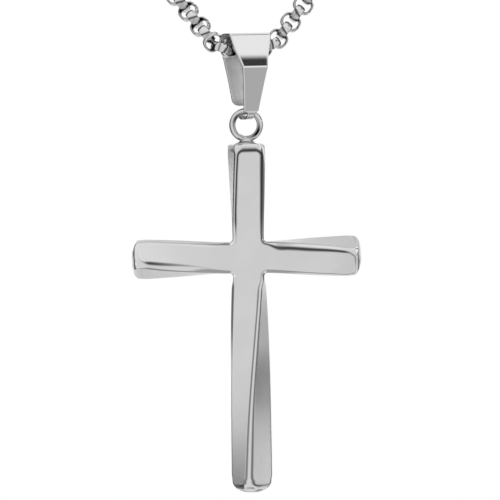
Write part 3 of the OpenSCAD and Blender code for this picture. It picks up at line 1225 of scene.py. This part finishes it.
class Step(Enum):
    """Steps of a material or of the studio: Blender's name for the kind of node, and its settings."""

    RIDGE_MARK = "ShaderNodeAttribute", {"attribute_name": Mark.RIDGE.value}
    END_MARK = "ShaderNodeAttribute", {"attribute_name": Mark.END.value}
    LINE_MARK = "ShaderNodeAttribute", {"attribute_name": Mark.LINE.value}
    PLACE = "ShaderNodeTexCoord", {}
    STRETCH = "ShaderNodeMapping", {}
    NOISE = "ShaderNodeTexNoise", {}
    EASE = "ShaderNodeMapRange", {"interpolation_type": "SMOOTHSTEP"}
    ADD = "ShaderNodeMath", {"operation": "ADD"}
    SUBTRACT = "ShaderNodeMath", {"operation": "SUBTRACT"}
    MULTIPLY = "ShaderNodeMath", {"operation": "MULTIPLY"}
    MULTIPLY_ADD = "ShaderNodeMath", {"operation": "MULTIPLY_ADD"}
    DIVIDE = "ShaderNodeMath", {"operation": "DIVIDE"}
    POWER = "ShaderNodeMath", {"operation": "POWER"}
    ROOT = "ShaderNodeMath", {"operation": "SQRT"}
    SIZE = "ShaderNodeMath", {"operation": "ABSOLUTE"}
    MAXIMUM = "ShaderNodeMath", {"operation": "MAXIMUM"}
    MINIMUM = "ShaderNodeMath", {"operation": "MINIMUM"}
    WRAP = "ShaderNodeMath", {"operation": "WRAP"}
    BEARING = "ShaderNodeMath", {"operation": "ARCTAN2"}
    ARCSINE = "ShaderNodeMath", {"operation": "ARCSINE"}
    BLEND = "ShaderNodeMix", {"data_type": "FLOAT"}
    BLEND_COLOURS = "ShaderNodeMix", {"data_type": "RGBA", "blend_type": "MIX"}
    DARKEN = "ShaderNodeMix", {"data_type": "RGBA", "blend_type": "MULTIPLY"}
    GREY = "ShaderNodeCombineColor", {}
    SPLIT = "ShaderNodeSeparateXYZ", {}
    BUMP = "ShaderNodeBump", {}
    SURFACE = "ShaderNodeBsdfPrincipled", {}
    SURFACE_END = "ShaderNodeOutputMaterial", {}
    GLOW = "ShaderNodeBackground", {}
    CAMERA_SEES = "ShaderNodeLightPath", {}
    CHOOSE = "ShaderNodeMixShader", {}
    WORLD_END = "ShaderNodeOutputWorld", {}


def add_node(tree: bpy.types.NodeTree, step: Step, *values: Any, **inputs: Any) -> Any:
    """Add a node with its settings and links.

    Args:
        tree: Tree that takes the node.
        step: What the node does.
        values: What its first inputs take: a value, a socket, or a node for its first output.
        inputs: The same for inputs by their name, with _ for a space.

    Returns:
        The node.
    """
    kind, settings = step.value
    node = tree.nodes.new(kind)
    for name, value in settings.items():
        setattr(node, name, value)
    named = {socket.identifier.replace(" ", "_"): socket for socket in node.inputs}
    pairs = [*zip(node.inputs, values), *((named[name], value) for name, value in inputs.items())]
    for socket, value in pairs:
        if isinstance(value, bpy.types.Node):
            value = value.outputs[0]
        if isinstance(value, bpy.types.NodeSocket):
            tree.links.new(value, socket)
        else:
            socket.default_value = value
    return node


@dataclass(frozen=True)
class Finish:
    """Stainless steel with the look of its making, with painted shade and painted dark lines, sizes in
    millimetres.

    Attributes:
        name: Name of the material.
        colour: Colour of the bare metal.
        gloss: Roughness of the polished ridges and edges.
        satin: Roughness of the broad faces.
        line: Place of the painted dark line between ridge and face, from the ridge; 0 leaves it out.
        line_width: Width of that line.
        line_depth: How much of the light the line keeps back.
        panel: Radius of the faces' rounded corners inside the lines.
        swell: Size of the broad unevenness that buffing leaves on the faces.
        grain: Depth of the fine wear in the surface.
        grain_size: Size of that wear, drawn coarser than the real 0.02 to 0.05 so that it shows.
        stretch: How much longer the wear is upright than across.
        painted_shade_depth: How dark the painted shade on a strip's inner and cut surfaces is, 0 to 1.
    """

    name: str
    colour: str
    gloss: float
    satin: float
    line: float = 0.0
    line_width: float = 0.1
    line_depth: float = 0.0
    panel: float = 1.0
    swell: float = 3.85
    grain: float = 0.0
    grain_size: float = 0.3
    stretch: float = 1.0
    painted_shade_depth: float = 0.0

    def lined(
        self, node: Callable[..., Any], ridge: Any, end: Any, strength: Any, place: Any
    ) -> tuple[Any, Any]:
        """Darken the line beside the ridges with a painted dark reflection and make the faces inside it
        softer.

        Args:
            node: Adds a node to the material.
            ridge: Socket of the distance from the ridge.
            end: Socket of the distance from the end.
            strength: Socket of the line's strength.
            place: Socket of the place on the piece.

        Returns:
            Socket of the colour and node of the roughness.
        """
        near_ridge = node(Step.MAXIMUM, node(Step.SUBTRACT, self.panel, ridge), 0.0)
        near_end = node(Step.MAXIMUM, node(Step.SUBTRACT, self.panel, end), 0.0)
        squares = node(Step.ADD, node(Step.POWER, near_ridge, 2.0), node(Step.POWER, near_end, 2.0))
        inside = node(Step.SUBTRACT, self.panel, node(Step.ROOT, squares))
        off = node(Step.SIZE, node(Step.SUBTRACT, inside, self.line))
        # A strong line is wider than a faint one
        widening = node(Step.MULTIPLY_ADD, node(Step.POWER, strength, 2.0), 1.3, 0.5)
        reach = node(Step.MULTIPLY, widening, self.line_width)
        nearness = node(Step.EASE, node(Step.DIVIDE, off, reach), 0.15, 1.0, self.line_depth, 0.0)
        keep = node(Step.SUBTRACT, 1.0, node(Step.MULTIPLY, nearness, strength))
        broad = node(Step.NOISE, Vector=place, Scale=1 / (self.swell * MM), Detail=1.0)
        shade = node(Step.MULTIPLY, keep, node(Step.EASE, broad, 0.35, 0.65, 0.97, 1.0))
        grey = node(Step.GREY, shade, shade, shade)
        # The colour is the third of this node's outputs
        tint = node(Step.DARKEN, 1.0, A_Color=linear(self.colour), B_Color=grey).outputs[2]
        return tint, node(Step.EASE, inside, self.line, self.line + 0.25, self.gloss, self.satin)

    def material(self) -> bpy.types.Material:
        """Make the finish's procedural material.

        Returns:
            The material.
        """
        material = bpy.data.materials.new(self.name)
        material.use_nodes = True
        material.node_tree.nodes.clear()
        node = partial(add_node, material.node_tree)
        marks = (Step.RIDGE_MARK, Step.END_MARK, Step.LINE_MARK)
        ridge, end, strength = (node(mark).outputs["Fac"] for mark in marks)
        place = node(Step.PLACE).outputs["Object"]
        fine = 1 / (self.grain_size * MM)
        spot = node(Step.STRETCH, place, Scale=(fine, fine, fine / self.stretch))
        wear = node(Step.NOISE, Vector=spot, Scale=1.0, Detail=2.0, Roughness=0.5)
        colour = linear(self.colour)
        tint: Any = colour
        if self.line:
            tint, rough = self.lined(node, ridge, end, strength, place)
        else:
            rough = node(Step.EASE, strength, 0.4, 0.6, self.gloss, self.satin)
        # Painted shade on cut edges and ends, on the bail's tongue and on the chain's insides, crescents and
        # joints, read from the ridge and end marks
        if self.painted_shade_depth:
            dark = tuple(c * (1 - self.painted_shade_depth) for c in colour[:3]) + (1.0,)
            rim = node(Step.EASE, ridge, 0.0, 0.1, 0.6, 1.0)
            share = node(Step.MULTIPLY, rim, node(Step.MINIMUM, end, 1.0))
            tint = node(Step.BLEND_COLOURS, share, A_Color=dark, B_Color=colour).outputs[2]
        uneven = node(Step.MULTIPLY, rough, node(Step.EASE, wear, 0.2, 0.8, 0.85, 1.2))
        bump = node(Step.BUMP, Strength=1.0, Distance=self.grain * MM, Height=wear)
        shader = node(Step.SURFACE, Base_Color=tint, Metallic=1.0, Roughness=uneven, Normal=bump)
        node(Step.SURFACE_END, Surface=shader)
        return material


# Cast steel, barrel tumbled and then buffed on a wheel: near-mirror ridges and softer faces, with a painted
# dark reflection line between ridge and face
CROSS_STEEL = Finish(
    "cast_steel_buffed", "#d1d1d1", gloss=0.09, satin=0.34, line=LINE_PLACE, line_width=0.2, line_depth=0.92,
    panel=1.05, grain=0.001, grain_size=0.35)
# Rolled strip, stamped, folded and polished: an even mirror with fine lines along the strip, and painted
# shade on its cut edges, ends and tongue
BAIL_STEEL = Finish(
    "rolled_strip_polished", "#dedede", gloss=0.08, satin=0.5, grain=0.001, grain_size=0.12, stretch=18,
    painted_shade_depth=0.45)
# Strip bent into links and tumbled: bright crowns, with painted shade on the cut rims and insides and a
# painted shadow crescent before each joint
CHAIN_STEEL = Finish(
    "link_strip_tumbled", "#cfcfcf", gloss=0.16, satin=0.16, grain=0.002, grain_size=0.25, painted_shade_depth=0.85)
# Steel turned on a lathe and polished: a soft even mirror
CLASP_STEEL = Finish(
    "turned_barrel_polished", "#d1d1d1", gloss=0.14, satin=0.14, grain=0.002, grain_size=0.2)


@dataclass(frozen=True)
class Patch:
    """One soft patch of the studio, a stretch of directions with a brightness.

    Attributes:
        turn: Middle of the patch in degrees round from straight in front, positive to the right.
        rise: Middle of the patch in degrees above level.
        half_turn: Half of its width.
        half_rise: Half of its height.
        soft: Width of its soft border.
        light: Brightness inside it.
    """

    turn: float
    rise: float
    half_turn: float
    half_rise: float
    soft: float
    light: float


# A patch covers the ones before it
PATCHES = (
    # Bright ceiling in front
    Patch(0, 75, 120, 42, 24, 1.15),
    # Dimmer tent behind, paler low and high, and bright straight behind
    Patch(180, 0, 57, 90, 12, 0.6),
    Patch(180, -48, 57, 24, 12, 0.95),
    Patch(180, 50, 57, 26, 12, 0.9),
    Patch(180, 0, 28, 22, 12, 1.2),
    # Dark flag behind on the right with a thin pale gap, and a dark flag behind on the left
    Patch(108, 0, 19, 44, 8, 0.24),
    Patch(125, 0, 3, 50, 3, 1.3),
    Patch(-121, 0, 20, 50, 5, 0.2),
    # Grey that the bail's front leaf mirrors, and the pale card that its fold mirrors
    Patch(63, -24, 14, 12, 6, 0.53),
    Patch(62, 25, 12, 6, 4, 1.08),
    # Small lamps that make the highlights on rounded corners
    Patch(116, 42, 8, 8, 3, 3.5),
    Patch(93, 14, 4, 4, 2, 4.0),
    Patch(-93, -14, 3, 3, 2, 3.0),
    # Black card that makes the dark band under the bail's fold
    Patch(69, 42, 10, 10, 9, 0.04),
    # Dim top and bottom of the tent
    Patch(0, 90, 180, 12, 10, 0.8),
    Patch(0, -90, 180, 14, 10, 0.5),
)


@dataclass(frozen=True)
class Studio:
    """Pale surroundings, lights and camera of a product shot.

    Attributes:
        base: Brightness of the tent round the camera.
        distance: From the camera to the pendant, in metres.
        field_width: Width of the picture at the pendant, in millimetres.
        rise: Height of the camera's view, in degrees above level.
        roll: Turn of the picture about the line of sight, in degrees.
        aim: Middle of the picture from the middle of the crossing, in millimetres.
        sensor: Width of the camera's sensor, in millimetres.
        floor_half: Half of the floor's side, in metres.
        floor_height: Its height, in metres.
        lamp_place: Place of the soft box, in metres.
        lamp_size: Side of the soft box, in metres.
        lamp_power: Its power in watts.
    """

    base: float = 1.0
    distance: float = 0.8
    field_width: float = 65.0
    rise: float = 2.0
    roll: float = -1.0
    aim: tuple[float, float, float] = (0.22, 0.0, 0.95)
    sensor: float = 36.0
    floor_half: float = 1.5
    floor_height: float = -0.3
    lamp_place: tuple[float, float, float] = (-0.35, -0.9, 0.35)
    lamp_size: float = 0.8
    lamp_power: float = 1.0

    def world(self) -> None:
        """Build the tent of soft light from its patches, plain white where the camera sees it."""
        world = bpy.data.worlds.new("light_tent")
        world.use_nodes = True
        world.node_tree.nodes.clear()
        node = partial(add_node, world.node_tree)
        ray = node(Step.PLACE).outputs["Generated"]
        x, y, z = node(Step.SPLIT, ray).outputs
        degrees = math.degrees(1)
        turn = node(Step.MULTIPLY, node(Step.BEARING, x, node(Step.MULTIPLY, y, -1.0)), degrees)
        rise = node(Step.MULTIPLY, node(Step.ARCSINE, z), degrees)
        light: Any = self.base
        for patch in PATCHES:
            aside = node(Step.WRAP, node(Step.SUBTRACT, turn, patch.turn), 180.0, -180.0)
            off_turn = node(Step.SUBTRACT, node(Step.SIZE, aside), patch.half_turn)
            over = node(Step.SIZE, node(Step.SUBTRACT, rise, patch.rise))
            off_rise = node(Step.SUBTRACT, over, patch.half_rise)
            border = patch.soft / 2
            share = node(Step.EASE, node(Step.MAXIMUM, off_turn, off_rise), -border, border, 1.0, 0.0)
            light = node(Step.BLEND, share, A_Float=light, B_Float=patch.light)
        white = (1.0, 1.0, 1.0, 1.0)
        seen = node(Step.CAMERA_SEES).outputs["Is Camera Ray"]
        both = node(Step.CHOOSE, seen, node(Step.GLOW, white, light), node(Step.GLOW, white, 1.0))
        node(Step.WORLD_END, Surface=both)
        bpy.context.scene.world = world

    def camera(self) -> None:
        """Set the camera in front of the pendant."""
        data = bpy.data.cameras.new("camera")
        data.sensor_width = self.sensor
        data.lens = self.sensor * self.distance / (self.field_width * MM)
        data.clip_start = 0.01
        data.clip_end = 20
        camera = bpy.data.objects.new("camera", data)
        bpy.context.scene.collection.objects.link(camera)
        rise = math.radians(self.rise)
        target = (CROSSING + Vector(self.aim)) * MM
        camera.location = target + Vector((0, -math.cos(rise), math.sin(rise))) * self.distance
        look = (target - camera.location).to_track_quat("-Z", "Y")
        camera.rotation_mode = "QUATERNION"
        camera.rotation_quaternion = look @ Quaternion(Z_AXIS, math.radians(self.roll))
        bpy.context.scene.camera = camera

    def floor(self) -> None:
        """Lay the pale floor under the necklace."""
        mesh = bpy.data.meshes.new("studio_floor")
        half, height = self.floor_half, self.floor_height
        corners = [(-half, -half, height), (half, -half, height), (half, half, height), (-half, half, height)]
        mesh.from_pydata(corners, [], [(0, 1, 2, 3)])
        floor = bpy.data.objects.new("studio_floor", mesh)
        bpy.context.scene.collection.objects.link(floor)
        # Matt white paper roll, lit evenly so that it shows white
        paper = bpy.data.materials.new("paper_roll")
        paper.use_nodes = True
        paper.node_tree.nodes.clear()
        node = partial(add_node, paper.node_tree)
        shader = node(
            Step.SURFACE, Base_Color=linear("#f4f4f4"), Roughness=0.9, Emission_Color=linear("#ffffff"),
            Emission_Strength=0.4)
        node(Step.SURFACE_END, Surface=shader)
        mesh.materials.append(paper)
        floor.visible_glossy = False

    def light(self) -> None:
        """Hang one large soft light over the camera."""
        data = bpy.data.lights.new("soft_box", "AREA")
        data.energy = self.lamp_power
        data.size = self.lamp_size
        lamp = bpy.data.objects.new("soft_box", data)
        lamp.visible_glossy = False
        bpy.context.scene.collection.objects.link(lamp)
        lamp.location = self.lamp_place
        aim = CROSSING * MM - lamp.location
        lamp.rotation_mode = "QUATERNION"
        lamp.rotation_quaternion = aim.to_track_quat("-Z", "Y")

    def build(self) -> None:
        """Set up the tent, floor, light and camera."""
        bpy.context.scene.view_settings.view_transform = "Standard"
        self.world()
        self.floor()
        self.light()
        self.camera()


def report(piece: bpy.types.Object) -> None:
    """Log a piece's name, triangles and size in millimetres.

    Args:
        piece: The piece.
    """
    triangles = sum(len(face.vertices) - 2 for face in piece.data.polygons)
    spots = [vertex.co / MM for vertex in piece.data.vertices]
    size = [round(max(spot[i] for spot in spots) - min(spot[i] for spot in spots), 2) for i in range(3)]
    log.info("%s: %d triangles, %s mm", piece.name, triangles, size)


def main() -> None:
    """Build the sub-assemblies in order, dress them and set the studio."""
    logging.basicConfig(level=logging.INFO, format="%(message)s")
    chain, clasp, bail, cross = Chain(), Clasp(), Bail(), Cross()
    strands = chain.build()
    chain.dress(strands, CHAIN_STEEL)
    barrel = clasp.build()
    clasp.dress(barrel, CLASP_STEEL)
    strip = bail.build()
    bail.dress(strip, BAIL_STEEL)
    bars = cross.build()
    cross.dress(bars, CROSS_STEEL)
    for piece in (*strands, barrel, strip, bars):
        report(piece)
    Studio().build()


if __name__ == "__main__":
    main()
